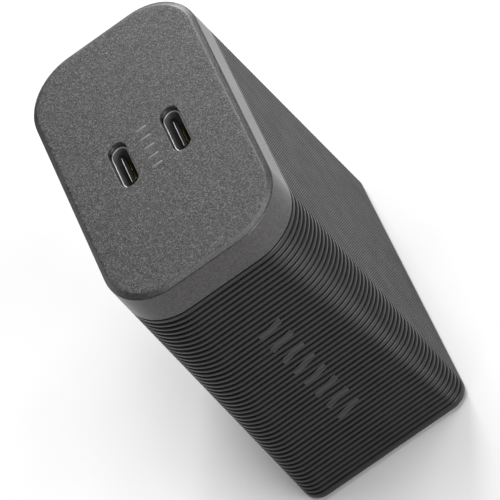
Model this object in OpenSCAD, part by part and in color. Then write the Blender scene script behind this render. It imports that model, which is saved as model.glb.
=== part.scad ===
// USB wall charger: a ribbed moulded case, a smooth cap over two USB-C sockets,
// and two mains blades that fold into the plug end.
// Origin at the centre of the plug-end face, +Z towards the port face,
// X across the narrow side, Y across the wide side, -Y is the side with the moulded marks.

/* [Case] */
// Width of the case across its narrow side
case_w = 30.6; // [30.6:0.1:32]
// Width of the case across its wide side
case_d = 54.7; // [54.7:0.1:57]
// Length of the case from the plug end to the port face
case_l = 58.5; // [58.5:0.5:62]
// Corner radius of the case at the plug end
plug_end_r = 3.2; // [3:0.1:4]
// Corner radius of the case at the port face
port_end_r = 9.5; // [9:0.1:10]
// Wall of the case, measured at the rib crests
wall = 2.2; // [2.1:0.05:2.2]

/* [Ribs] */
// Number of grooves round the case
groove_count = 47; // [40:1:47]
// Distance from one groove to the next
rib_pitch = 1.074; // [1:0.002:1.08]
// Width of each groove
groove_w = 0.38; // [0.3:0.02:0.42]
// Depth of each groove below the crests
groove_depth = 0.34; // [0.2:0.02:0.4]

/* [Port cap] */
// Height of the cap from its parting line to the port face
cap_h = 6.2; // [6.2:0.1:7]
// How far the bevel round the port face cuts in
bevel_in = 0.86; // [0.5:0.02:1]
// How far the bevel round the port face cuts down
bevel_down = 0.44; // [0.3:0.02:0.6]
// Thickness of the port face
face_t = 2; // [1.9:0.1:2.2]

/* [USB-C sockets] */
// Distance between the centres of the two sockets
socket_pitch = 9.82; // [9.6:0.02:10.2]
// Length of each opening in the port face
opening_len = 9.2; // [9.1:0.05:9.3]
// Width of each opening in the port face
opening_wid = 3.1; // [3:0.05:3.15]
// Depth of the socket shell's rim below the port face
shell_sink = 1.2; // [1.1:0.05:1.3]

/* [Mains blades] */
// Width of a blade
blade_w = 6.35; // [6.2:0.05:6.35]
// Thickness of a blade
blade_t = 1.5; // [1.4:0.05:1.6]
// Distance between the centres of the two blades
blade_pitch = 12.7; // [12.5:0.1:12.9]
// How far an open blade stands out of the plug end
blade_reach = 17; // [16:0.1:17]
// Diameter of the hole near a blade's tip
blade_hole_d = 3.2; // [3:0.1:3.6]

/* [Boards] */
// Thickness of the circuit boards
board_t = 1.2; // [1:0.1:1.2]

/* [Hidden] */
$fn = 64;
eps = 0.01;

// Case
parting_z = case_l - cap_h;
parting_gap = 0.3;
bevel_z = case_l - bevel_down;
foot_bevel = 0.6;
cavity_w = case_w - 2 * wall;
cavity_d = case_d - 2 * wall;
cavity_r = 7;
seat_r = 1.4;
seat_z = 3;
rail_t = 0.9;
rail_y = 20.9;

// Moulded marks on the wide side: a row of slanted bars, flush with the crests
mark_bars = 8;
mark_row_l = 26.7;
mark_row_z = 26.4;
mark_h = 4.4;
mark_bar_w = 1.3;
mark_slant = 1.1;

// Cap
lip_gap = 0.15;
lip_wall = 1;
lip_drop = 3.3;
lip_w = cavity_w - 2 * lip_gap;
lip_d = cavity_d - 2 * lip_gap;
lip_r = cavity_r - lip_gap;
post_r = 1.4;
post_x = 9;
post_y = 14;

// Printed marks on the port face: a row of short dashes
ink_t = 0.1;
ink_dashes = 5;
ink_dash_l = 1.9;
ink_dash_w = 0.42;
ink_pitch = 2.1;

// Sockets
shell_len = 8.94;
shell_wid = 3.2;
shell_t = 0.3;
shell_top = case_l - shell_sink;
tongue_t = 0.7;
tongue_w = 6.69;
tongue_sink = 0.5;
insulator_h = 2.8;
pad_t = 0.05;
pad_w = 0.28;
pads_a_side = 12;
pad_pitch = 0.5;

// Plug end
plate_gap = 0.1;
plate_t = 2.4;
pivot_y = -9;
pivot_z = 3.6;
blade_x = blade_pitch / 2;
blade_l = blade_reach + pivot_z;
blade_tip_cut = 1.3;
blade_hole_at = 11.9 + pivot_z;
tail_l = 4.4;
tail_w = 2;
barrel_r = 3.2;
barrel_half = 10;
core_r = 1.58;
pin_r = 1;
pin_from = 7.9;
pin_to = 12.3;
bearing_gap = 0.06;
cheek_from = 10.3;
cheek_to = 12.7;
cheek_half = 2.6;
slot_half = 1.05;
slot_top = 7;
trough_wall = 1;
trough_top = slot_top + trough_wall;
trough_end = 12.2;
well_half = 3.4;
scoop_from = 1.5;
scoop_to = 11.5;
scoop_half = blade_x - slot_half;
scoop_depth = 4.4;
boss_r = 1.9;
boss_x = 10.6;
boss_ys = [-15.2, -2.8];
screw_r = 0.65;
pilot_r = 0.7;
clamp_z = 8.6;
clamp_t = 1.4;
leaf_t = 0.3;
leaf_half = 1.25;
leaf_z = pivot_z + tail_l + 0.06;
leaf_back = pivot_y + 4.6;

// Boards
input_z = 11.6;
input_top = input_z + board_t;
port_board_z = case_l - 11.5;
port_board_top = port_board_z + board_t;
main_x = -11.1;
main_bottom = input_top + 0.1;
main_top = port_board_z - 0.1;
board_half_x = 12.2;
stand_r = 1.6;
stand_x = 10.6;
stand_ys = [-19.3, 18];

solder_h = 0.1;
link_pins = 6;
link_pin_w = 0.5;
link_pin_pitch = 2.54;
link_pin_grip = 1.2;

// Mains input parts, which stand on the input board
fuse_at = [-6.5, 14];
fuse_l = 8;
fuse_r = 1.9;
fuse_cap_r = 2.1;
fuse_cap_l = 2;
x_cap_at = [-6, -13];
x_cap_size = [8.4, 13, 10.9];
choke_at = [-6.8, 2.2, input_top + 7.8];
choke_outer_r = 6.5;
choke_inner_r = 3.6;
choke_h = 5;
wire_t = 1;
y_cap_at = [-6.2, 28.6];
y_cap_ys = [-16.4, -11.9];
y_cap_r = 3.4;
y_cap_t = 2.6;
y_cap_lead_gap = 4.4;
bridge_y = [12, 20];
bridge_z = [24, 31];
bridge_t = 2.2;
bulk_x = 7.4;
bulk_ys = [-12.9, -3.5, 5.9, 15.3];
bulk_r = 4.3;
bulk_l = 20;
sleeve_t = 0.18;

// Converter parts on the main board
transistor_ys = [-2.5, 5];
transistor_size = [0.9, 6, 4.5];
transistor_z = 29;
chip_size = [0.9, 4, 4];
chip_yz = [15, 35];
port_chip_x = -8;
port_chip_y = 5;
opto_size = [3.2, 4.6, 6.5];
opto_yz = [-6, 36.5];

// Transformer, whose coil stands along Z between two ferrite halves
coil_x = 1.2;
coil_y = 7.2;
coil_z = 34;
coil_h = 12.6;
ferrite_w = 18;
ferrite_d = 20.8;
ferrite_t = 2.4;
ferrite_leg = 2.2;
ferrite_leg_w = 10;
post_core_r = 3.9;
bobbin_r = 4.7;
flange_r = 7.8;
flange_t = 0.9;
coil_r = 7.5;

// Output parts
out_cap_ys = [-16.5, -9.6];
out_cap_zs = [35.6, 42.5];
out_cap_r = 3.15;
out_cap_l = 8.5;
inductor_x = 6;
inductor_ys = [-15, -7.4];
inductor_w = 7;
inductor_h = 4.2;

// Heat path along the +X side
pad_from = coil_x + ferrite_w / 2 + 0.05;
spreader_x = 12.2;
spreader_t = 0.5;
sheet_t = 0.25;
side_half = 19;
side_bottom = input_top + 0.2;
side_top = main_top - 0.4;

// Corner radius of the case at a height: it grows steadily from the plug end to the port face
function corner_r(z) = plug_end_r + (port_end_r - plug_end_r) * z / case_l;

// Height of a groove's middle, counted down from the parting line
function groove_z(k) = parting_z - k * rib_pitch;

// ---- Shapes used by several pieces ----

module rounded_rect(w, d, r) {
    square([w - 2 * r, d], center = true);
    square([w, d - 2 * r], center = true);
    for (x = [-1, 1], y = [-1, 1])
        translate([x * (w / 2 - r), y * (d / 2 - r)]) circle(r);
}

module slab(w, d, r, z0, z1) {
    translate([0, 0, z0]) linear_extrude(z1 - z0) rounded_rect(w, d, r);
}

// A slab whose side leans in by inset over its height
module leaning_slab(w, d, r, z0, h, inset) {
    translate([0, d / 2 - r, z0]) rotate([90, 0, 0]) linear_extrude(d - 2 * r)
        polygon([[-w / 2, 0], [w / 2, 0], [w / 2 - inset, h], [inset - w / 2, h]]);
    translate([r - w / 2, 0, z0]) rotate([90, 0, 90]) linear_extrude(w - 2 * r)
        polygon([[-d / 2, 0], [d / 2, 0], [d / 2 - inset, h], [inset - d / 2, h]]);
    for (x = [-1, 1], y = [-1, 1])
        translate([x * (w / 2 - r), y * (d / 2 - r), z0]) cylinder(h = h, r1 = r, r2 = r - inset);
}

module case_slab(z0, z1, inset = 0) {
    slab(case_w - 2 * inset, case_d - 2 * inset, corner_r((z0 + z1) / 2) - inset, z0, z1);
}

module stadium(len, wid) {
    square([wid, len - wid], center = true);
    for (y = [-1, 1]) translate([0, y * (len - wid) / 2]) circle(wid / 2);
}

module stadium_bar(len, wid, z0, z1) {
    translate([0, 0, z0]) linear_extrude(z1 - z0) stadium(len, wid);
}

// A box from its low corner to its high corner
module box(low, high) {
    translate(low) cube(high - low);
}

// A box given by its middle in X and Y, its sizes and its low and high Z
module block(x, y, size_x, size_y, z0, z1) {
    box([x - size_x / 2, y - size_y / 2, z0], [x + size_x / 2, y + size_y / 2, z1]);
}

module x_rod(r, x0, x1) {
    translate([x0, 0, 0]) rotate([0, 90, 0]) cylinder(h = x1 - x0, r = r);
}

module at_pivot() {
    translate([0, pivot_y, pivot_z]) children();
}

module both_sides() {
    children();
    mirror([1, 0, 0]) children();
}

// ---- Case ----

module moulded_marks() {
    step = (mark_row_l - mark_bar_w - mark_slant) / (mark_bars - 1);
    fill = groove_depth + 0.1;
    half_h = mark_h / 2;
    half_bar = mark_bar_w / 2;
    half_rise = mark_slant / 2;
    for (k = [0 : mark_bars - 1])
        translate([0, 2 * eps - case_d / 2 + fill, mark_row_z + (k - (mark_bars - 1) / 2) * step])
            rotate([90, 0, 0]) linear_extrude(fill)
                polygon([
                    [-half_h, -half_bar - half_rise], [half_h, half_rise - half_bar],
                    [half_h, half_rise + half_bar], [-half_h, half_bar - half_rise]
                ]);
}

module case_outside() {
    last = groove_z(groove_count) - groove_w / 2;
    for (k = [0 : groove_count - 1])
        case_slab(groove_z(k + 1) + groove_w / 2, groove_z(k) - (k == 0 ? parting_gap : groove_w) / 2);
    for (k = [1 : groove_count])
        case_slab(groove_z(k) - groove_w, groove_z(k) + groove_w, groove_depth);
    case_slab(foot_bevel, last);
    translate([0, 0, foot_bevel]) mirror([0, 0, 1])
        leaning_slab(case_w, case_d, corner_r(0), 0, foot_bevel, foot_bevel);
}

module ribbed_housing() color([0.2, 0.2, 0.21]) {
    difference() {
        union() {
            case_outside();
            moulded_marks();
        }
        slab(cavity_w, cavity_d, cavity_r, seat_z, case_l);
        slab(cavity_w, cavity_d, seat_r, -1, seat_z + eps);
    }
    // Rails that hold the main board's long edges
    for (side = [-1, 1])
        block(main_x - 0.8, side * (rail_y + rail_t / 2), 3, rail_t, input_top + 0.4, main_top - 1);
}

module port_mark_shape(z0, z1) {
    for (k = [0 : ink_dashes - 1])
        block(0, (k - (ink_dashes - 1) / 2) * ink_pitch, ink_dash_l, ink_dash_w, z0, z1);
}

module port_cap() color([0.43, 0.42, 0.43]) {
    bottom = parting_z + parting_gap / 2;
    steps = 5;
    step = (bevel_z - bottom) / steps;
    difference() {
        union() {
            for (k = [0 : steps - 1]) case_slab(bottom + k * step, bottom + (k + 1) * step);
            leaning_slab(case_w, case_d, corner_r(case_l), bevel_z, bevel_down, bevel_in);
            slab(lip_w, lip_d, lip_r, parting_z - lip_drop, bottom + eps);
        }
        slab(lip_w - 2 * lip_wall, lip_d - 2 * lip_wall, lip_r - lip_wall, 0, case_l - face_t);
        for (side = [-1, 1]) translate([side * socket_pitch / 2, 0, 0]) {
            stadium_bar(opening_len, opening_wid, 0, case_l + 1);
            stadium_bar(shell_len + 0.3, shell_wid + 0.3, 0, shell_top + 0.05);
        }
        port_mark_shape(case_l - ink_t, case_l + 1);
    }
    // Posts that press on the port board
    for (x = [-1, 1], y = [-1, 1])
        translate([x * post_x, y * post_y, port_board_top + 0.1])
            cylinder(h = case_l - face_t + eps - port_board_top - 0.1, r = post_r);
}

module port_mark() color([0.62, 0.61, 0.61]) {
    port_mark_shape(case_l - ink_t, case_l);
}

// ---- Plug end ----

module plug_end_plate() color([0.17, 0.17, 0.18]) {
    difference() {
        union() {
            slab(cavity_w - 2 * plate_gap, cavity_d - 2 * plate_gap, seat_r - plate_gap, 0, plate_t);
            both_sides() {
                // Trough round a folded blade
                box([blade_x - slot_half - trough_wall, pivot_y + well_half, 1],
                    [blade_x + slot_half + trough_wall, trough_end + trough_wall, trough_top]);
                // Lower half of the bearing
                box([cheek_from, pivot_y - cheek_half, 1], [cheek_to, pivot_y + cheek_half, pivot_z - 0.02]);
                for (y = boss_ys) translate([boss_x, y, 1]) cylinder(h = clamp_z - 1, r = boss_r);
                for (y = stand_ys) translate([stand_x, y, 1]) cylinder(h = input_z - 1.05, r = stand_r);
            }
            // Roof over the finger scoop
            box([-blade_x, scoop_from - trough_wall, 1],
                [blade_x, scoop_to + trough_wall, scoop_depth + trough_wall]);
        }
        // Opening for the carrier's barrel
        box([-barrel_half - 0.2, pivot_y - well_half, -1],
            [barrel_half + 0.2, pivot_y + well_half, plate_t + 1]);
        box([-scoop_half, scoop_from, -1], [scoop_half, scoop_to, scoop_depth]);
        both_sides() {
            box([blade_x - slot_half, pivot_y, -1], [blade_x + slot_half, trough_end, slot_top]);
            for (y = boss_ys) translate([boss_x, y, seat_z]) cylinder(h = clamp_z, r = pilot_r);
            at_pivot() x_rod(pin_r + bearing_gap, cheek_from - 1, cheek_to + 1);
        }
    }
}

module pivot_retainer() color([0.75, 0.74, 0.7]) {
    difference() {
        union() {
            box([-cheek_to, pivot_y - 4.2, clamp_z], [cheek_to, pivot_y + 3.8, clamp_z + clamp_t]);
            both_sides() {
                box([boss_x - boss_r, boss_ys[0] - boss_r, clamp_z],
                    [cheek_to, boss_ys[1] + boss_r, clamp_z + clamp_t]);
                // Upper half of the bearing
                box([cheek_from, pivot_y - cheek_half, pivot_z + 0.02],
                    [cheek_to, pivot_y + cheek_half, clamp_z + eps]);
            }
        }
        both_sides() {
            at_pivot() x_rod(pin_r + bearing_gap, cheek_from - 1, cheek_to + 1);
            for (y = boss_ys) translate([boss_x, y, 0]) cylinder(h = case_l, r = screw_r + 0.2);
        }
    }
}

module retainer_screws() color([0.7, 0.7, 0.72]) {
    head_z = clamp_z + clamp_t;
    for (side = [-1, 1], y = boss_ys) translate([side * boss_x, y, 0]) difference() {
        union() {
            translate([0, 0, head_z - 5]) cylinder(h = 5 + eps, r = screw_r);
            translate([0, 0, head_z]) cylinder(h = 1, r = 1.45);
        }
        for (a = [0, 90]) rotate([0, 0, a]) block(0, 0, 1.7, 0.4, head_z + 0.5, head_z + 2);
    }
}

// Outline of a folded blade, from its pivot, with its tip towards the right
module blade_outline() {
    half = blade_w / 2;
    difference() {
        union() {
            polygon([
                [0, -half], [blade_l - blade_tip_cut, -half], [blade_l, blade_tip_cut - half],
                [blade_l, half - blade_tip_cut], [blade_l - blade_tip_cut, half], [0, half]
            ]);
            circle(half);
            intersection() {
                circle(tail_l);
                translate([-tail_l, -tail_w / 2]) square([tail_l, tail_w]);
            }
        }
        circle(core_r + 0.02);
        translate([blade_hole_at, 0]) circle(blade_hole_d / 2);
    }
}

module blade(x) color([0.8, 0.78, 0.72]) {
    at_pivot() translate([x - blade_t / 2, 0, 0]) rotate([90, 0, 90]) linear_extrude(blade_t) blade_outline();
}

module line_blade() blade(-blade_x);

module neutral_blade() blade(blade_x);

module blade_carrier() color([0.15, 0.15, 0.16]) at_pivot() {
    flat = 2.95;
    difference() {
        x_rod(barrel_r, -barrel_half, barrel_half);
        // Flats that the detent spring rests on, one for each end of the travel
        box([-3.4, -barrel_r, flat], [3.4, barrel_r, barrel_r + 1]);
        box([-3.4, -barrel_r - 1, -barrel_r], [3.4, -flat, barrel_r]);
        both_sides() {
            box([blade_x - blade_t / 2 - eps, -9, -9], [blade_x + blade_t / 2 + eps, 9, 9]);
            x_rod(pin_r + 0.01, pin_from - 0.01, barrel_half + 1);
        }
    }
    x_rod(core_r, 0.3 - pin_from, pin_from - 0.3);
}

module pivot_pins() color([0.75, 0.75, 0.77]) {
    for (x0 = [-pin_to, pin_from]) at_pivot() x_rod(pin_r, x0, x0 + pin_to - pin_from);
}

module detent_spring() color([0.8, 0.7, 0.45]) {
    low = pivot_z + barrel_r + 0.15;
    high = clamp_z - 0.02;
    front = pivot_y - 4;
    box([-3, front, low], [3, pivot_y + 3.4, low + leaf_t]);
    box([-3, front, low], [3, front + leaf_t, high]);
    box([-3, front, high - leaf_t], [3, pivot_y + 2, high]);
}

module contact(x) color([0.82, 0.6, 0.35]) {
    box([x - leaf_half, pivot_y - 3, leaf_z], [x + leaf_half, leaf_back, leaf_z + leaf_t]);
    box([x - leaf_half, leaf_back - leaf_t, leaf_z], [x + leaf_half, leaf_back, input_top + solder_h]);
}

module line_contact() contact(-blade_x);

module neutral_contact() contact(blade_x);

// ---- USB-C sockets ----

module usb_c_shell(x) color([0.72, 0.72, 0.73]) translate([x, 0, 0]) difference() {
    stadium_bar(shell_len, shell_wid, port_board_top, shell_top);
    stadium_bar(shell_len - 2 * shell_t, shell_wid - 2 * shell_t, 0, case_l);
}

module usb_c_tongue(x) color([0.1, 0.1, 0.1]) translate([x, 0, 0]) {
    insulator_top = port_board_top + insulator_h;
    inset = 2 * shell_t + 0.04;
    stadium_bar(shell_len - inset, shell_wid - inset, port_board_top, insulator_top);
    block(0, 0, tongue_t, tongue_w, insulator_top - eps, shell_top - tongue_sink);
}

module usb_c_contacts(x) color([0.85, 0.7, 0.3]) translate([x, 0, 0]) {
    for (face = [-1, 1], k = [0 : pads_a_side - 1])
        block(face * (tongue_t + pad_t) / 2, (k - (pads_a_side - 1) / 2) * pad_pitch, pad_t, pad_w,
            port_board_top + insulator_h + 0.2, shell_top - tongue_sink - 0.6);
}

module usb_c_shell_left() usb_c_shell(-socket_pitch / 2);

module usb_c_shell_right() usb_c_shell(socket_pitch / 2);

module usb_c_tongue_left() usb_c_tongue(-socket_pitch / 2);

module usb_c_tongue_right() usb_c_tongue(socket_pitch / 2);

module usb_c_contacts_left() usb_c_contacts(-socket_pitch / 2);

module usb_c_contacts_right() usb_c_contacts(socket_pitch / 2);

// ---- Boards ----

module input_board() color([0.1, 0.35, 0.2]) difference() {
    block(0, 0, 2 * board_half_x, 40, input_z, input_top);
    for (x = [-blade_x, blade_x]) block(x, leaf_back - leaf_t / 2, 2.9, 0.8, input_z - 1, input_top + 1);
}

module main_board() color([0.1, 0.35, 0.2]) {
    box([main_x - board_t, 0.1 - rail_y, main_bottom], [main_x, rail_y - 0.1, main_top]);
}

module link_pin_places() {
    for (k = [0 : link_pins - 1])
        translate([main_x + link_pin_w / 2, (k - (link_pins - 1) / 2) * link_pin_pitch, 0]) children();
}

module port_board() color([0.1, 0.35, 0.2]) difference() {
    block(0, 0, 2 * board_half_x, 35, port_board_z, port_board_top);
    link_pin_places() block(0, 0, link_pin_w + 0.2, link_pin_w + 0.2, 0, case_l);
}

module board_link_pins() color([0.85, 0.75, 0.4]) {
    link_pin_places() block(0, 0, link_pin_w, link_pin_w, main_top - link_pin_grip, port_board_top + 0.8);
}

// ---- Mains input parts ----

module input_fuse() color([0.85, 0.83, 0.78]) translate([fuse_at.x, fuse_at.y, input_top + 0.3]) {
    cylinder(h = fuse_l, r = fuse_r);
    for (z = [0, fuse_l - fuse_cap_l]) translate([0, 0, z]) cylinder(h = fuse_cap_l, r = fuse_cap_r);
}

module x_capacitor() color([0.75, 0.6, 0.2]) {
    bottom = input_top + 0.05;
    block(x_cap_at.x, x_cap_at.y, x_cap_size.x, x_cap_size.y, bottom, bottom + x_cap_size.z);
}

module at_choke() {
    translate(choke_at) rotate([0, 90, 0]) children();
}

module choke_core() color([0.2, 0.4, 0.25]) at_choke() difference() {
    translate([0, 0, -choke_h / 2]) cylinder(h = choke_h, r = choke_outer_r);
    translate([0, 0, -choke_h]) cylinder(h = 2 * choke_h, r = choke_inner_r);
}

// Two coils, each wound round one side of the ring
module choke_windings() color([0.72, 0.4, 0.2]) at_choke() {
    gap = 0.05;
    ring_w = choke_outer_r - choke_inner_r;
    for (a = [20, 200]) rotate([0, 0, a]) rotate_extrude(angle = 140) difference() {
        translate([choke_inner_r - gap - wire_t, -choke_h / 2 - gap - wire_t])
            square([ring_w + 2 * (gap + wire_t), choke_h + 2 * (gap + wire_t)]);
        translate([choke_inner_r - gap, -choke_h / 2 - gap]) square([ring_w + 2 * gap, choke_h + 2 * gap]);
    }
}

module y_capacitors() color([0.2, 0.4, 0.7]) {
    for (y = y_cap_ys) translate([y_cap_at.x, y, y_cap_at.y]) {
        rotate([90, 0, 0]) translate([0, 0, -y_cap_t / 2]) cylinder(h = y_cap_t, r = y_cap_r);
        for (side = [-1, 1])
            translate([0, 0, side * y_cap_lead_gap / 2]) x_rod(0.3, main_x - y_cap_at.x, -2);
    }
}

module bridge_rectifier() color([0.12, 0.12, 0.12]) {
    lead = 0.8;
    box([main_x + 0.1, bridge_y[0], bridge_z[0]], [main_x + 0.1 + bridge_t, bridge_y[1], bridge_z[1]]);
    for (y = [bridge_y[0] + 1.5, bridge_y[1] - 1.5], z = [bridge_z[0] - lead, bridge_z[1]])
        block(main_x + 0.3, y, 0.6, 1.2, z, z + lead);
}

// ---- Storage capacitors ----

module bulk_places() {
    for (y = bulk_ys) translate([bulk_x, y, input_top + 0.2]) children();
}

module bulk_capacitor_cans() color([0.8, 0.8, 0.82]) bulk_places() {
    cylinder(h = bulk_l, r = bulk_r);
}

module bulk_capacitor_sleeves() color([0.12, 0.12, 0.16]) bulk_places() difference() {
    inside = bulk_r + 2 * eps;
    cylinder(h = bulk_l - 0.4, r = inside + sleeve_t);
    translate([0, 0, -1]) cylinder(h = bulk_l + 2, r = inside);
}

// ---- Converter ----

module power_transistors() color([0.13, 0.13, 0.13]) {
    for (y = transistor_ys)
        translate([main_x, y - transistor_size.y / 2, transistor_z]) cube(transistor_size);
}

module controller_chips() color([0.13, 0.13, 0.13]) {
    translate([main_x, chip_yz[0], chip_yz[1]]) cube(chip_size);
    for (side = [-1, 1])
        block(port_chip_x, side * port_chip_y, 3, 4, port_board_top, port_board_top + 0.8);
}

module optocoupler() color([0.13, 0.13, 0.13]) {
    translate([main_x, opto_yz[0], opto_yz[1]]) cube(opto_size);
}

module at_coil() {
    translate([coil_x, coil_y, coil_z + coil_h / 2]) children();
}

// Two E-shaped ferrite halves that meet at mid height
module transformer_core() color([0.25, 0.25, 0.27]) at_coil() {
    half_h = coil_h / 2;
    for (turn = [0, 180]) rotate([turn, 0, 0]) {
        block(0, 0, ferrite_w, ferrite_d, half_h - ferrite_t, half_h);
        for (side = [-1, 1])
            block(0, side * (ferrite_d - ferrite_leg) / 2, ferrite_leg_w, ferrite_leg,
                2 * eps, half_h - ferrite_t + eps);
        translate([0, 0, 2 * eps]) cylinder(h = half_h - ferrite_t, r = post_core_r);
    }
}

module transformer_bobbin() color([0.15, 0.15, 0.15]) at_coil() {
    inner_h = coil_h - 2 * ferrite_t - 0.1;
    foot_half = 7;
    difference() {
        union() {
            translate([0, 0, -inner_h / 2]) cylinder(h = inner_h, r = bobbin_r);
            // Flanges, each with a foot that reaches the main board
            for (z = [-inner_h / 2, inner_h / 2 - flange_t]) {
                translate([0, 0, z]) cylinder(h = flange_t, r = flange_r);
                box([main_x - coil_x + 0.1, -foot_half, z], [-3, foot_half, z + flange_t]);
            }
        }
        translate([0, 0, -coil_h]) cylinder(h = 2 * coil_h, r = post_core_r + 0.1);
    }
}

module transformer_winding() color([0.85, 0.75, 0.25]) at_coil() difference() {
    wound_h = coil_h - 2 * ferrite_t - 2 * flange_t - 0.2;
    translate([0, 0, -wound_h / 2]) cylinder(h = wound_h, r = coil_r);
    translate([0, 0, -coil_h]) cylinder(h = 2 * coil_h, r = bobbin_r + 0.05);
}

module output_capacitors() color([0.75, 0.75, 0.78]) {
    for (y = out_cap_ys, z = out_cap_zs)
        translate([0, y, z]) x_rod(out_cap_r, main_x + 0.1, main_x + 0.1 + out_cap_l);
}

module output_inductors() color([0.3, 0.3, 0.32]) {
    for (y = inductor_ys)
        block(inductor_x, y, inductor_w, inductor_w, port_board_z - inductor_h, port_board_z);
}

// ---- Heat path and insulation ----

module thermal_pad() color([0.7, 0.75, 0.8]) {
    pad_half = 7;
    box([pad_from, coil_y - pad_half, coil_z + 1],
        [spreader_x - 0.05, coil_y + pad_half, coil_z + coil_h - 1]);
}

module heat_spreader() color([0.8, 0.8, 0.8]) {
    outside = spreader_x + spreader_t;
    box([spreader_x, -side_half, side_bottom], [outside, side_half, side_top]);
    // Wing folded in behind the capacitors
    box([outside - 8.7, -side_half, side_bottom], [outside, spreader_t - side_half, side_top]);
}

module insulating_sheet() color([0.9, 0.88, 0.8]) {
    inside = spreader_x + spreader_t + 0.05;
    box([inside, -side_half, side_bottom], [inside + sheet_t, side_half, side_top]);
}

ribbed_housing();
port_cap();
port_mark();
plug_end_plate();
pivot_retainer();
retainer_screws();
line_blade();
neutral_blade();
blade_carrier();
pivot_pins();
detent_spring();
line_contact();
neutral_contact();
usb_c_shell_left();
usb_c_shell_right();
usb_c_tongue_left();
usb_c_tongue_right();
usb_c_contacts_left();
usb_c_contacts_right();
input_board();
main_board();
port_board();
board_link_pins();
input_fuse();
x_capacitor();
choke_core();
choke_windings();
y_capacitors();
bridge_rectifier();
bulk_capacitor_cans();
bulk_capacitor_sleeves();
power_transistors();
controller_chips();
optocoupler();
transformer_core();
transformer_bobbin();
transformer_winding();
output_capacitors();
output_inductors();
thermal_pad();
heat_spreader();
insulating_sheet();
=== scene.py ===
import math

import bmesh
import bpy
from mathutils import Matrix, Vector


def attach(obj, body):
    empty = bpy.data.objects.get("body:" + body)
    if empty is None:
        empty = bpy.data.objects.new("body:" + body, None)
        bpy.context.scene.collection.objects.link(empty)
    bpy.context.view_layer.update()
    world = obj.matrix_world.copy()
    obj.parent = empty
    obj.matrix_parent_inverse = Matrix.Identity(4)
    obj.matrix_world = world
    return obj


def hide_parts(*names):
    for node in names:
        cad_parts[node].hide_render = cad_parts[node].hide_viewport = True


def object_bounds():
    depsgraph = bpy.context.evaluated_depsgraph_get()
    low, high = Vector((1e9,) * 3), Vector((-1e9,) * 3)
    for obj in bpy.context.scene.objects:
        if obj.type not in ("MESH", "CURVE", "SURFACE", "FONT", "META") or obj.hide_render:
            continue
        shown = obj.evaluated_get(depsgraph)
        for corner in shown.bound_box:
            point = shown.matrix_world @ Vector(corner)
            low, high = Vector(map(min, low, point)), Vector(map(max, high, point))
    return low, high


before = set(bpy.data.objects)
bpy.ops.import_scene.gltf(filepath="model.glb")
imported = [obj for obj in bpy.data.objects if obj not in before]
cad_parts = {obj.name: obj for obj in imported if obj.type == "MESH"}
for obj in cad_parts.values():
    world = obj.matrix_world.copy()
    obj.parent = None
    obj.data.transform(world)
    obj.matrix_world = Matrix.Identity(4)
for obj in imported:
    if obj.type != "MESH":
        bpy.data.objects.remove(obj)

CAD_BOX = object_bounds()
MM = 0.001

# ---------------------------------------------------------------- sizes, in millimetres
CASE_W, CASE_D, CASE_L = ((high - low) / MM for low, high in zip(*CAD_BOX))
PLUG_END_R, PORT_END_R = 3.2, 9.5
CORNER_STEPS = 14
RIB_STEPS, MARK_STEPS, CAP_STEPS = 3, 3, 8

WALL = 2.2
CAVITY_R = 7.0
SEAT_R, SEAT_Z = 1.4, 3.0
FOOT_R = 0.7
RAIL_X, RAIL_Y, RAIL_W, RAIL_T = -11.9, 21.35, 3.0, 0.9
RAIL_Z, RAIL_EDGE_R = (13.2, 45.9), 0.2

CAP_H = 6.2
PARTING_Z = CASE_L - CAP_H
PARTING_GAP = 0.12
GROOVES = 47
RIB_PITCH = 1.074
GROOVE_W, GROOVE_DEPTH = 0.38, 0.34
CREST_R, GROOVE_R = 0.21, 0.1

BEVEL_IN, BEVEL_DOWN = 0.86, 0.44
FACE_EDGE_R, BAND_EDGE_R = 0.8, 0.3
FACE_RIM = 0.6
FACE_T = 2.0
LIP_GAP, LIP_WALL, LIP_DROP = 0.15, 1.0, 3.3
POST_X, POST_Y, POST_R, POST_FOOT_Z = 9.0, 14.0, 1.4, 48.3
POST_EDGE, POST_ROOT = 0.2, 0.05

SOCKET_PITCH = 9.82
OPENING_LEN, OPENING_WID, OPENING_R = 9.4, 3.2, 0.18
SHELL_LEN, SHELL_WID, SHELL_T = 8.94, 3.2, 0.3
SHELL_SINK, SHELL_FOOT, SHELL_RIM_R = 0.75, 48.2, 0.13
SHELL_TOP = CASE_L - SHELL_SINK
POCKET_ROOM, POCKET_ABOVE_SHELL = 0.3, 0.05
TONGUE_T, TONGUE_W, TONGUE_SINK, TONGUE_TIP_R, TONGUE_TIP_FLAT = 0.7, 6.69, 0.7, 0.12, 0.01
MID_PLATE_T, MID_PLATE_W, MID_PLATE_DEPTH = 0.14, 5.6, 0.5
INSULATOR_H, INSULATOR_GAP = 2.8, 0.04
INSULATOR_TOP = SHELL_FOOT + INSULATOR_H
STADIUM_STEPS, CIRCLE_STEPS, RAIL_STEPS, PLATE_STEPS = 18, 24, 3, 2

MARK_BARS, MARK_ROW_L, MARK_ROW_Z = 8, 26.7, 26.4
MARK_H, MARK_BAR_W, MARK_SLANT, MARK_BELOW_CREST = 4.4, 1.3, 1.1, 0.02
MARK_ROOT, MARK_EDGE_R, MARK_CORNER_R = 0.1, 0.06, 0.18
DASHES, DASH_PITCH, DASH_L, DASH_W, INK_T = 5, 2.1, 1.9, 0.42, 0.1

# Points nearer than this, in metres, are one point.
SAME_POINT, SAME_CAD_POINT = 1e-7, 1e-6
FLAT_FACE_WEIGHT = 80


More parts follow.
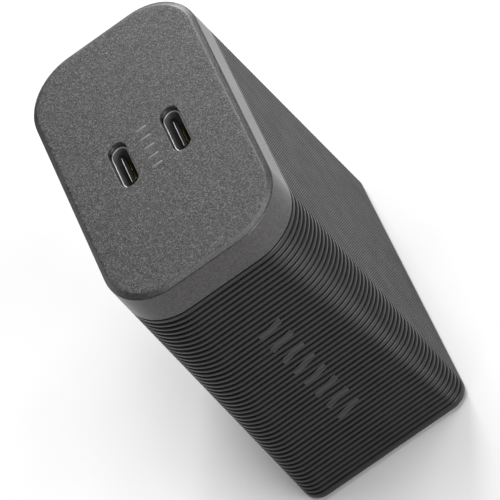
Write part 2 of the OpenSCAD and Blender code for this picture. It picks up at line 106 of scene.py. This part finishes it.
# ---------------------------------------------------------------- outlines and mesh helpers
def rounded(corners, steps_a_right_angle=4):
    """The points of a path of (u, v, radius) corners, with each corner rounded to its radius."""
    points = []
    for i, (u, v, radius) in enumerate(corners):
        here = Vector((u, v))
        if not radius:
            points.append((u, v))
            continue
        back = (Vector(corners[i - 1][:2]) - here).normalized()
        ahead = (Vector(corners[(i + 1) % len(corners)][:2]) - here).normalized()
        half = back.angle(ahead) / 2
        reach = radius / math.tan(half)
        centre = here + (back + ahead).normalized() * radius / math.sin(half)
        start, end = here + back * reach - centre, here + ahead * reach - centre
        turn = start.angle(end)
        steps = max(2, round(steps_a_right_angle * turn / (math.pi / 2)))
        for k in range(steps + 1):
            before, after = math.sin((1 - k / steps) * turn), math.sin(k / steps * turn)
            points.append(tuple(centre + (before * start + after * end) / math.sin(turn)))
    return points


def rectangle_ring(width, depth, radius, z, x=0.0, y=0.0, steps=CORNER_STEPS):
    """Points round a rounded rectangle at height z."""
    points = []
    for k, (sx, sy) in enumerate(((1, 1), (-1, 1), (-1, -1), (1, -1))):
        for i in range(steps + 1):
            a = math.pi / 2 * (k + i / steps)
            points.append((x + sx * (width / 2 - radius) + radius * math.cos(a),
                           y + sy * (depth / 2 - radius) + radius * math.sin(a), z))
    return points


def case_ring(inset, z):
    """The case's outline at height z, set in by inset. Its corners open out towards the port face."""
    radius = PLUG_END_R + (PORT_END_R - PLUG_END_R) * z / CASE_L
    return rectangle_ring(CASE_W - 2 * inset, CASE_D - 2 * inset, radius - inset, z)


def circle_ring(radius, z, x, y):
    """Points round a circle at height z."""
    turns = [math.tau * k / CIRCLE_STEPS for k in range(CIRCLE_STEPS)]
    return [(x + radius * math.cos(a), y + radius * math.sin(a), z) for a in turns]


def stadium_ring(length, width, z, x=0.0):
    """Points round a slot with round ends that lies along Y."""
    points = []
    for side in (1, -1):
        for i in range(STADIUM_STEPS + 1):
            a = math.pi * i / STADIUM_STEPS
            points.append((x + side * width / 2 * math.cos(a),
                           side * ((length - width) / 2 + width / 2 * math.sin(a)), z))
    return points


class Shape:
    """A mesh that is put together from rings of points, in millimetres."""

    def __init__(self):
        self.bm = bmesh.new()

    def loft(self, outlines, closed=False):
        """Quads between outlines that follow each other. closed joins the last to the first."""
        rings = [[self.bm.verts.new(Vector(p) * MM) for p in points] for points in outlines]
        pairs = list(zip(rings, rings[1:]))
        if closed:
            pairs.append((rings[-1], rings[0]))
        for a, b in pairs:
            for i in range(len(a)):
                j = (i + 1) % len(a)
                self.bm.faces.new((a[i], a[j], b[j], b[i]))
        return rings

    def fill(self, *loops):
        """A flat face inside the first loop and outside the others."""
        edges = []
        for loop in loops:
            for i, v in enumerate(loop):
                w = loop[(i + 1) % len(loop)]
                edges.append(self.bm.edges.get((v, w)) or self.bm.edges.new((v, w)))
        bmesh.ops.triangle_fill(self.bm, use_beauty=True, use_dissolve=False, edges=edges)

    def solid(self, outlines):
        """A closed solid lofted through outlines."""
        rings = self.loft(outlines)
        for end in (rings[0], rings[-1]):
            self.fill(end)

    def finish(self, name, material, slot, body, replaces=()):
        """Makes the mesh a piece with its finish, which rides on a body and may replace CAD nodes."""
        bmesh.ops.remove_doubles(self.bm, verts=self.bm.verts, dist=SAME_POINT)
        bmesh.ops.recalc_face_normals(self.bm, faces=self.bm.faces)
        mesh = bpy.data.meshes.new(name)
        self.bm.to_mesh(mesh)
        self.bm.free()
        mesh.materials.append(material)
        piece = bpy.data.objects.new(name, mesh)
        bpy.context.collection.objects.link(piece)
        smooth(piece)
        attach(piece, body)
        if replaces:
            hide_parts(*replaces)


def smooth(piece):
    """Smooth shading that keeps flat faces flat."""
    for face in piece.data.polygons:
        face.use_smooth = True
    modifier = piece.modifiers.new("flat_faces_flat", "WEIGHTED_NORMAL")
    modifier.weight = FLAT_FACE_WEIGHT


# ---------------------------------------------------------------- materials
class Nodes:
    """A material's node tree, with short ways to add what these finishes use."""

    def __init__(self, name):
        self.material = bpy.data.materials.new(name)
        self.material.use_nodes = True
        self.tree = self.material.node_tree
        self.shader = self.tree.nodes["Principled BSDF"]
        self.place = self.tree.nodes.new("ShaderNodeTexCoord").outputs["Object"]

    def link(self, a, b):
        """Joins an output to an input."""
        self.tree.links.new(a, b)

    def noise(self, size, detail=2.0, stretch=(1, 1, 1)):
        """Noise with features about size millimetres across, drawn out where stretch is under 1."""
        mapping = self.tree.nodes.new("ShaderNodeMapping")
        mapping.inputs["Scale"].default_value = stretch
        self.link(self.place, mapping.inputs["Vector"])
        node = self.tree.nodes.new("ShaderNodeTexNoise")
        node.inputs["Scale"].default_value = 1 / (size * MM)
        node.inputs["Detail"].default_value = detail
        self.link(mapping.outputs["Vector"], node.inputs["Vector"])
        return node.outputs["Fac"]

    def flakes(self, size):
        """Cells about size millimetres across, each with its own random value."""
        node = self.tree.nodes.new("ShaderNodeTexVoronoi")
        node.inputs["Scale"].default_value = 1 / (size * MM)
        self.link(self.place, node.inputs["Vector"])
        split = self.tree.nodes.new("ShaderNodeSeparateColor")
        self.link(node.outputs["Color"], split.inputs["Color"])
        return split.outputs["Red"]

    def bands(self, axis, pitch, wander=0.0):
        """Waves along an axis, pitch millimetres apart."""
        node = self.tree.nodes.new("ShaderNodeTexWave")
        node.bands_direction = axis
        node.inputs["Scale"].default_value = math.pi / 10 / (pitch * MM)
        node.inputs["Distortion"].default_value = wander
        self.link(self.place, node.inputs["Vector"])
        return node.outputs["Fac"]

    def height(self):
        """How high a point lies, in metres."""
        split = self.tree.nodes.new("ShaderNodeSeparateXYZ")
        self.link(self.place, split.inputs["Vector"])
        return split.outputs["Z"]

    def spread(self, value, low, high, start=0.3, end=0.7):
        """value, from start to end, as a number from low to high."""
        node = self.tree.nodes.new("ShaderNodeMapRange")
        for name, number in (("From Min", start), ("From Max", end), ("To Min", low), ("To Max", high)):
            node.inputs[name].default_value = number
        self.link(value, node.inputs["Value"])
        return node.outputs["Result"]

    def maths(self, operation, a, b):
        """One operation on two values, each a number or an output."""
        node = self.tree.nodes.new("ShaderNodeMath")
        node.operation = operation
        for socket, value in zip(node.inputs, (a, b)):
            if isinstance(value, (int, float)):
                socket.default_value = value
            else:
                self.link(value, socket)
        return node.outputs["Value"]

    def times(self, *values):
        """The values multiplied together."""
        result = values[0]
        for value in values[1:]:
            result = self.maths("MULTIPLY", result, value)
        return result

    def colour(self, colour, factor):
        """The base colour, times a factor that varies over the surface."""
        node = self.tree.nodes.new("ShaderNodeVectorMath")
        node.operation = "SCALE"
        node.inputs[0].default_value = colour
        self.link(factor, node.inputs["Scale"])
        self.link(node.outputs["Vector"], self.shader.inputs["Base Color"])

    def bump(self, height, depth):
        """Bumps up to depth millimetres deep."""
        node = self.tree.nodes.new("ShaderNodeBump")
        node.inputs["Distance"].default_value = depth * MM
        self.link(height, node.inputs["Height"])
        self.link(node.outputs["Normal"], self.shader.inputs["Normal"])

    def roughness(self, value):
        """Roughness that varies over the surface."""
        self.link(value, self.shader.inputs["Roughness"])

    def set(self, **values):
        """Values that are the same all over, set on the shader's own sockets."""
        for name, value in values.items():
            self.shader.inputs[name.replace("_", " ")].default_value = value


def finish(name, colour, rough, grain=0.3, amount=0.12, bump=0.004, stretch=(1, 1, 1), metal=0.0,
           flake=0.0, sparkle=0.0, bands=None, band_depth=0.0, coat=0.0, patch=5.0, specular=0.5):
    """A finish with fine grain, broad patches of wear, its own roughness map and a fine bump.
    bands is (axis, pitch) for wound or rolled surfaces, with painted shade darkening the colour in the
    troughs between turns. flake and sparkle give cells of their own shade."""
    n = Nodes(name)
    fine = n.noise(grain, 3.0, stretch)
    broad = n.noise(patch)
    factor = n.times(n.spread(fine, 1 - amount, 1 + amount), n.spread(broad, 0.95, 1.05))
    relief = n.times(fine, bump)
    if flake:
        factor = n.times(factor, n.spread(n.flakes(flake), 1 - sparkle, 1 + sparkle, 0.0, 1.0))
    if bands:
        wave = n.bands(*bands)
        # The colour darkens in the wave's troughs, where the relief is low: painted shade between the turns.
        factor = n.times(factor, n.spread(wave, 0.8, 1.05, 0.0, 1.0))
        relief = n.maths("ADD", relief, n.times(wave, band_depth))
    n.colour(colour, factor)
    n.roughness(n.spread(broad, rough - 0.05, rough + 0.05))
    n.bump(relief, 1.0)
    n.set(Metallic=metal, Specular_IOR_Level=specular)
    if coat:
        n.set(Coat_Weight=coat, Coat_Roughness=0.15)
    return n.material


def cap_finish():
    """Dark grey satin with fine grain and flecks: strong and rougher on the flat face, fainter off it."""
    grain_size, fine_size, fleck_size, patch_size = 0.2, 0.12, 0.19, 9.0
    grain_swing, fleck_swing, off_face_share = 0.75, 0.95, 0.4
    face_relief, side_relief, rougher_on_face = 0.05, 0.03, 0.18
    n = Nodes("cap_satin")
    on_face = n.spread(n.height(), 0.0, 1.0, (CASE_L - 0.05) * MM, (CASE_L - 0.01) * MM)
    off_face = n.maths("SUBTRACT", 1.0, on_face)
    grain = n.noise(grain_size)
    fine = n.noise(fine_size, 1.0)
    broad = n.noise(patch_size)
    strength = n.spread(on_face, off_face_share, 1.0, 0.0, 1.0)
    coarse = n.maths("ADD", n.times(n.spread(grain, -grain_swing, grain_swing, 0.35, 0.65), strength), 1.0)
    soft = n.spread(fine, 0.95, 1.05)
    flecks = n.spread(n.flakes(fleck_size), -fleck_swing, fleck_swing, 0.0, 1.0)
    fleck = n.maths("ADD", n.times(flecks, strength), 1.0)
    n.colour((0.0425, 0.0397, 0.0407), n.times(coarse, soft, fleck, n.spread(broad, 0.97, 1.03)))
    n.roughness(n.maths("ADD", n.times(on_face, rougher_on_face), n.spread(broad, 0.3, 0.33)))
    relief = n.maths("ADD", n.times(grain, on_face, face_relief), n.times(grain, off_face, side_relief))
    n.bump(relief, 1.0)
    return n.material


def board_finish():
    """Green solder mask over woven glass, with paler copper areas under it."""
    n = Nodes("board_laminate")
    weave = n.maths("ADD", n.bands("Y", 0.6), n.bands("Z", 0.6))
    copper = n.spread(n.noise(4.0, 0.0), 0.75, 1.5, 0.48, 0.52)
    n.colour((0.015, 0.11, 0.045), n.times(copper, n.spread(weave, 0.9, 1.1, 0.0, 2.0)))
    n.roughness(n.spread(n.noise(3.0), 0.28, 0.4))
    n.bump(weave, 0.004)
    return n.material


def grey(value):
    """A colour with no hue."""
    return (value, value, value)


CASE = finish("case_ribs", grey(0.013), 0.38, grain=0.2, amount=0.2, bump=0.003, specular=0.45)
MARKS = finish("case_marks", grey(0.021), 0.5, grain=0.15, amount=0.2, bump=0.003)
CAP = cap_finish()
STEEL_SHELL = finish("socket_steel", grey(0.3), 0.34, grain=0.15, bump=0.001, metal=0.5,
                     stretch=(1, 1, 0.15))
TONGUE = finish("tongue_plastic", grey(0.006), 0.55, grain=0.12, bump=0.002, specular=0.06)
MID_PLATE = finish("tongue_mid_plate", grey(0.42), 0.4, grain=0.12, bump=0.001, metal=0.8)
PLATE = finish("plate_plastic", grey(0.016), 0.5, grain=0.22, amount=0.2, bump=0.01)
CARRIER = finish("carrier_plastic", grey(0.018), 0.4, grain=0.2, bump=0.003)
INNER = finish("inner_plastic", (0.5, 0.48, 0.42), 0.5, grain=0.4, bump=0.005)
STEEL = finish("plain_steel", (0.55, 0.55, 0.56), 0.28, grain=0.2, bump=0.002, metal=1.0,
               stretch=(1, 0.2, 1))
BLADE = finish("blade_plating", (0.66, 0.64, 0.6), 0.24, grain=0.25, amount=0.1, bump=0.002, metal=1.0,
               stretch=(1, 0.04, 1), patch=3.0)
BRONZE = finish("spring_bronze", (0.72, 0.47, 0.24), 0.3, grain=0.2, bump=0.002, metal=1.0,
                stretch=(0.1, 1, 1))
GOLD = finish("contact_gold", (0.5, 0.34, 0.12), 0.3, grain=0.1, bump=0.001, metal=1.0)
INK = finish("printed_ink", (0.14, 0.137, 0.138), 0.5, grain=0.14, amount=0.2, bump=0.003)
BOARD = board_finish()
FERRITE = finish("ferrite", (0.05, 0.05, 0.055), 0.55, grain=0.3, amount=0.3, bump=0.012, flake=0.15,
                 sparkle=0.4)
FUSE = finish("fuse_ceramic", (0.72, 0.69, 0.6), 0.35, grain=0.5, amount=0.06, bump=0.004, coat=0.5)
X_CAPACITOR = finish("x_capacitor_case", (0.55, 0.4, 0.06), 0.4, grain=0.5, amount=0.06, bump=0.004)
Y_CAPACITOR = finish("y_capacitor_coating", (0.03, 0.13, 0.42), 0.3, grain=0.8, amount=0.1, bump=0.02,
                     coat=0.8)
COPPER = finish("copper_wire", (0.62, 0.27, 0.12), 0.25, grain=0.3, bump=0.003, metal=0.8,
                bands=("X", 0.45), band_depth=0.09, coat=0.6)
CHIP = finish("chip_plastic", grey(0.02), 0.55, grain=0.15, amount=0.25, bump=0.004)
CAN = finish("can_aluminium", (0.78, 0.78, 0.79), 0.3, grain=0.2, bump=0.002, metal=1.0, stretch=(1, 1, 0.1))
SLEEVE = finish("sleeve_film", (0.02, 0.022, 0.045), 0.25, grain=0.6, amount=0.08, bump=0.004, coat=0.4)
BOBBIN = finish("bobbin_plastic", (0.028, 0.024, 0.02), 0.45, grain=0.4, bump=0.005)
TAPE = finish("winding_tape", (0.72, 0.5, 0.06), 0.3, grain=0.6, bump=0.003, bands=("Z", 1.2),
              band_depth=0.03)
SILICONE = finish("thermal_silicone", (0.42, 0.47, 0.52), 0.75, grain=0.25, amount=0.2, bump=0.03, flake=0.2,
                  sparkle=0.15)
SPREADER = finish("spreader_aluminium", (0.8, 0.8, 0.8), 0.35, grain=0.2, bump=0.003, metal=1.0,
                  stretch=(1, 1, 0.05))
FILM = finish("insulating_film", (0.62, 0.57, 0.42), 0.5, grain=0.35, amount=0.15, bump=0.006,
              stretch=(1, 0.4, 1))

# CAD node: (its finish, how wide its edges are rounded in millimetres)
CAD_FINISHES = {
    "port_mark": (INK, 0.03), "plug_end_plate": (PLATE, 0.25), "blade_carrier": (CARRIER, 0.15),
    "line_blade": (BLADE, 0.14), "neutral_blade": (BLADE, 0.14), "pivot_pins": (STEEL, 0.1),
    "pivot_retainer": (INNER, 0.2), "retainer_screws": (STEEL, 0.1), "detent_spring": (BRONZE, 0.04),
    "line_contact": (BRONZE, 0.04), "neutral_contact": (BRONZE, 0.04),
    "usb_c_contacts_left": (GOLD, 0.02), "usb_c_contacts_right": (GOLD, 0.02),
    "input_board": (BOARD, 0.08), "main_board": (BOARD, 0.08), "port_board": (BOARD, 0.08),
    "board_link_pins": (GOLD, 0.08), "input_fuse": (FUSE, 0.15), "x_capacitor": (X_CAPACITOR, 0.4),
    "choke_core": (FERRITE, 0.3), "choke_windings": (COPPER, 0.15), "y_capacitors": (Y_CAPACITOR, 0.5),
    "bridge_rectifier": (CHIP, 0.12), "bulk_capacitor_cans": (CAN, 0.5),
    "bulk_capacitor_sleeves": (SLEEVE, 0.03),
    "power_transistors": (CHIP, 0.12), "controller_chips": (CHIP, 0.1), "optocoupler": (CHIP, 0.15),
    "transformer_core": (FERRITE, 0.3), "transformer_bobbin": (BOBBIN, 0.12),
    "transformer_winding": (TAPE, 0.1),
    "output_capacitors": (CAN, 0.4), "output_inductors": (FERRITE, 0.3), "thermal_pad": (SILICONE, 0.15),
    "heat_spreader": (SPREADER, 0.1), "insulating_sheet": (FILM, 0.05),
}
EDGE_ANGLE = math.radians(35)


def refine_cad_node(name, material, edge):
    """A CAD node keeps its shape, with rounded edges and its own finish."""
    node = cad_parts[name]
    node.data.materials.clear()
    node.data.materials.append(material)
    weld = node.modifiers.new("weld", "WELD")
    weld.merge_threshold = SAME_CAD_POINT
    bevel = node.modifiers.new("rounded_edges", "BEVEL")
    bevel.width = edge * MM
    bevel.segments = 2
    bevel.limit_method = "ANGLE"
    bevel.angle_limit = EDGE_ANGLE
    smooth(node)


# ---------------------------------------------------------------- case
def build_housing():
    """The lower case: a rounded shell whose outside is cut by grooves that run all the way round."""
    top = PARTING_Z - PARTING_GAP / 2
    corners = [(WALL / 2, top, 0), (0, top, CREST_R)]
    for k in range(1, GROOVES + 1):
        middle = PARTING_Z - k * RIB_PITCH
        above, below = middle + GROOVE_W / 2, middle - GROOVE_W / 2
        corners += [(0, above, CREST_R), (GROOVE_DEPTH, above, GROOVE_R),
                    (GROOVE_DEPTH, below, GROOVE_R), (0, below, CREST_R)]
    corners += [(0, 0, FOOT_R), (WALL / 2, 0, 0)]
    outlines = [case_ring(inset, z) for inset, z in rounded(corners, RIB_STEPS)]
    inside_w, inside_d = CASE_W - 2 * WALL, CASE_D - 2 * WALL
    for radius, z in ((SEAT_R, 0), (SEAT_R, SEAT_Z), (CAVITY_R, SEAT_Z), (CAVITY_R, top)):
        outlines.append(rectangle_ring(inside_w, inside_d, radius, z))
    shape = Shape()
    shape.loft(outlines, closed=True)
    low, high = RAIL_Z
    edge = RAIL_EDGE_R
    heights = ((edge / 2, low), (0, low + edge), (0, high - edge), (edge / 2, high))
    for side in (-1, 1):
        shape.solid([rectangle_ring(RAIL_W - 2 * inset, RAIL_T - 2 * inset, edge, z,
                                    RAIL_X, side * RAIL_Y, RAIL_STEPS)
                     for inset, z in heights])
    shape.finish("ribbed_case", CASE, "case_plastic", "charger", ["ribbed_housing"])


def build_marks():
    """The row of slanted bars on the wide side, level with the crests."""
    step = (MARK_ROW_L - MARK_BAR_W - MARK_SLANT) / (MARK_BARS - 1)
    front = MARK_BELOW_CREST - CASE_D / 2
    back = front + GROOVE_DEPTH + MARK_ROOT
    corner_r = MARK_CORNER_R
    profile = rounded([(2 * MARK_EDGE_R, front, 0), (0, front, MARK_EDGE_R), (0, back, 0)], MARK_STEPS)
    shape = Shape()
    for k in range(MARK_BARS):
        middle = MARK_ROW_Z + (k - (MARK_BARS - 1) / 2) * step
        outlines = []
        for inset, y in profile:
            half_h, half_bar, half_rise = MARK_H / 2 - inset, MARK_BAR_W / 2 - inset, MARK_SLANT / 2
            corners = [(-half_h, -half_bar - half_rise, corner_r), (half_h, half_rise - half_bar, corner_r),
                       (half_h, half_rise + half_bar, corner_r), (-half_h, half_bar - half_rise, corner_r)]
            outlines.append([(u, y, middle + v) for u, v in rounded(corners)])
        shape.solid(outlines)
    shape.finish("moulded_bars", MARKS, "case_plastic", "charger")


def socket_opening(shape, x):
    """The wall of one opening in the port face. Returns its loops on the face and on the underside."""
    pocket = SHELL_TOP + POCKET_ABOVE_SHELL
    path = rounded([(OPENING_R * 2, CASE_L, 0), (0, CASE_L, OPENING_R), (0, pocket, 0)])
    outlines = [stadium_ring(OPENING_LEN + 2 * out, OPENING_WID + 2 * out, z, x) for out, z in path]
    for z in (pocket, CASE_L - FACE_T):
        outlines.append(stadium_ring(SHELL_LEN + POCKET_ROOM, SHELL_WID + POCKET_ROOM, z, x))
    rings = shape.loft(outlines)
    return rings[0], rings[-1]


def ink_pocket(shape, y):
    """The shallow pocket that holds one printed dash. Returns its loop on the face."""
    corners = [(-DASH_L / 2, y - DASH_W / 2), (DASH_L / 2, y - DASH_W / 2),
               (DASH_L / 2, y + DASH_W / 2), (-DASH_L / 2, y + DASH_W / 2)]
    rings = shape.loft([[(u, v, z) for u, v in corners] for z in (CASE_L, CASE_L - INK_T)])
    shape.fill(rings[1])
    return rings[0]


def build_cap():
    """The smooth cap with the port face, its bevel, its band and the lip that enters the case."""
    bottom = PARTING_Z + PARTING_GAP / 2
    path = rounded([
        (BEVEL_IN + FACE_RIM, CASE_L, 0), (BEVEL_IN, CASE_L, FACE_EDGE_R),
        (0, CASE_L - BEVEL_DOWN, BAND_EDGE_R),
        (0, bottom, CREST_R), (WALL / 2, bottom, 0),
    ], CAP_STEPS)
    outlines = [case_ring(inset, z) for inset, z in path]
    lip_w, lip_d = (size - 2 * (WALL + LIP_GAP) for size in (CASE_W, CASE_D))
    lip_r = CAVITY_R - LIP_GAP
    lip_foot = PARTING_Z - LIP_DROP
    underside = CASE_L - FACE_T
    for z in (bottom, lip_foot):
        outlines.append(rectangle_ring(lip_w, lip_d, lip_r, z))
    for z in (lip_foot, underside):
        outlines.append(rectangle_ring(lip_w - 2 * LIP_WALL, lip_d - 2 * LIP_WALL, lip_r - LIP_WALL, z))
    shape = Shape()
    rings = shape.loft(outlines)
    openings = [socket_opening(shape, side * SOCKET_PITCH / 2) for side in (-1, 1)]
    pockets = [ink_pocket(shape, (k - (DASHES - 1) / 2) * DASH_PITCH) for k in range(DASHES)]
    shape.fill(rings[0], *[on_face for on_face, _ in openings], *pockets)
    shape.fill(rings[-1], *[below for _, below in openings])
    heights = ((POST_EDGE, POST_FOOT_Z), (0, POST_FOOT_Z + POST_EDGE), (0, underside + POST_ROOT))
    for x in (-POST_X, POST_X):
        for y in (-POST_Y, POST_Y):
            shape.solid([circle_ring(POST_R - inset, z, x, y) for inset, z in heights])
    shape.finish("smooth_cap", CAP, "cap_plastic", "charger", ["port_cap"])


# ---------------------------------------------------------------- sockets
def build_socket(side, label):
    """A socket: a steel shell with a rolled rim, a plastic tongue, and a steel plate in the tongue's tip."""
    x = side * SOCKET_PITCH / 2
    shell = Shape()
    path = rounded([(0, SHELL_FOOT, 0), (0, SHELL_TOP, SHELL_RIM_R), (-SHELL_T, SHELL_TOP, SHELL_RIM_R),
                    (-SHELL_T, SHELL_FOOT, 0)])
    shell.loft([stadium_ring(SHELL_LEN + 2 * out, SHELL_WID + 2 * out, z, x) for out, z in path],
               closed=True)
    shell.finish("socket_shell_" + label, STEEL_SHELL, "shell_steel", "charger", ["usb_c_shell_" + label])

    tongue = Shape()
    base_inset = 2 * SHELL_T + INSULATOR_GAP
    outlines = [stadium_ring(SHELL_LEN - base_inset, SHELL_WID - base_inset, z, x)
                for z in (SHELL_FOOT, INSULATOR_TOP)]
    tip = SHELL_TOP - TONGUE_SINK
    tongue_path = [(0, INSULATOR_TOP, 0), (0, tip, TONGUE_TIP_R), (TONGUE_T / 2 - TONGUE_TIP_FLAT, tip, 0)]
    for inset, z in rounded(tongue_path):
        outlines.append(stadium_ring(TONGUE_W - 2 * inset, TONGUE_T - 2 * inset, z, x))
    tongue.solid(outlines)
    tongue.finish("socket_tongue_" + label, TONGUE, "tongue_plastic", "charger", ["usb_c_tongue_" + label])

    plate = Shape()
    plate_x = x - TONGUE_T / 2 + MID_PLATE_T
    edge = MID_PLATE_T / 4
    heights = ((0, tip - MID_PLATE_DEPTH), (0, tip + edge), (edge / 2, tip + 2 * edge))
    plate.solid([rectangle_ring(MID_PLATE_T - 2 * inset, MID_PLATE_W - 2 * inset, edge, z,
                                plate_x, 0, PLATE_STEPS)
                 for inset, z in heights])
    plate.finish("mid_plate_" + label, MID_PLATE, "shell_steel", "charger")


build_housing()
build_marks()
build_cap()
for side, label in ((-1, "left"), (1, "right")):
    build_socket(side, label)
for name, (material, edge) in CAD_FINISHES.items():
    refine_cad_node(name, material, edge)

# ---------------------------------------------------------------- camera
# Angles in degrees about the case's middle. The aim stands off that middle along the picture's own axes.
CAMERA_AZIMUTH, CAMERA_ELEVATION, CAMERA_ROLL = 13.33, 44.62, -44.35
CAMERA_DISTANCE, CAMERA_LENS = 852.3, 393.0
CLIP_START, CLIP_END = 0.01, 20.0
AIM_RIGHT, AIM_UP = 0.82, -0.90


def make_camera():
    """The camera, turned about its line of sight and aimed beside the case's middle."""
    azimuth, elevation, roll = (math.radians(a) for a in (CAMERA_AZIMUTH, CAMERA_ELEVATION, CAMERA_ROLL))
    back = Vector((math.sin(azimuth) * math.cos(elevation), -math.cos(azimuth) * math.cos(elevation),
                   math.sin(elevation)))
    level = (-back).cross(Vector((0, 0, 1))).normalized()
    upright = level.cross(-back)
    right = math.cos(roll) * level + math.sin(roll) * upright
    up = math.cos(roll) * upright - math.sin(roll) * level
    aim = Vector((0, 0, CASE_L / 2)) + AIM_RIGHT * right + AIM_UP * up
    data = bpy.data.cameras.new("camera")
    data.lens = CAMERA_LENS
    data.clip_start, data.clip_end = CLIP_START, CLIP_END
    camera = bpy.data.objects.new("camera", data)
    bpy.context.collection.objects.link(camera)
    turn = Matrix((right, up, back)).transposed().to_4x4()
    camera.matrix_world = Matrix.Translation((aim + back * CAMERA_DISTANCE) * MM) @ turn
    bpy.context.scene.camera = camera


# ---------------------------------------------------------------- floor and light
# Plain softboxes round the case: name, azimuth from +X and elevation in degrees, side in metres, watts.
SOFTBOX_DISTANCE = 0.35
SOFTBOXES = (
    ("overhead", 90, 90, 0.2, 0.5),
    ("key", 15, 65, 0.15, 0.3),
    ("back", 80, 30, 0.15, 1.0),
    ("left", 150, 20, 0.15, 0.15),
    ("front", -60, 15, 0.2, 1.0),
)
ROOM_LIGHT = 0.05
# The floor lies a hair under the foot, so the two faces never share a plane.
FLOOR_SIZE, FLOOR_Z = 3.0, -0.0004


def make_floor():
    """A plain pale floor."""
    n = Nodes("pale_floor")
    n.colour(grey(0.9), n.spread(n.noise(40.0), 0.97, 1.03))
    n.set(Roughness=0.9, Specular_IOR_Level=0.2)
    bm = bmesh.new()
    bmesh.ops.create_grid(bm, x_segments=1, y_segments=1, size=FLOOR_SIZE)
    mesh = bpy.data.meshes.new("floor")
    bm.to_mesh(mesh)
    bm.free()
    mesh.materials.append(n.material)
    floor = bpy.data.objects.new("floor", mesh)
    floor.location.z = FLOOR_Z
    bpy.context.collection.objects.link(floor)


def make_lights():
    """The softboxes, each facing the case's middle, and the room's even light."""
    middle = Vector((0, 0, CASE_L / 2)) * MM
    for name, azimuth, elevation, side, watts in SOFTBOXES:
        turn, rise = math.radians(azimuth), math.radians(elevation)
        outward = Vector((math.cos(turn) * math.cos(rise), math.sin(turn) * math.cos(rise), math.sin(rise)))
        data = bpy.data.lights.new(name, "AREA")
        data.size = side
        data.energy = watts
        light = bpy.data.objects.new(name, data)
        bpy.context.collection.objects.link(light)
        light.location = middle + outward * SOFTBOX_DISTANCE
        light.rotation_euler = outward.to_track_quat("Z", "Y").to_euler()
    world = bpy.data.worlds.new("studio")
    world.use_nodes = True
    world.node_tree.nodes["Background"].inputs["Color"].default_value = (*grey(ROOM_LIGHT), 1)
    bpy.context.scene.world = world
    bpy.context.scene.view_settings.view_transform = "Standard"


make_camera()
make_floor()
make_lights()
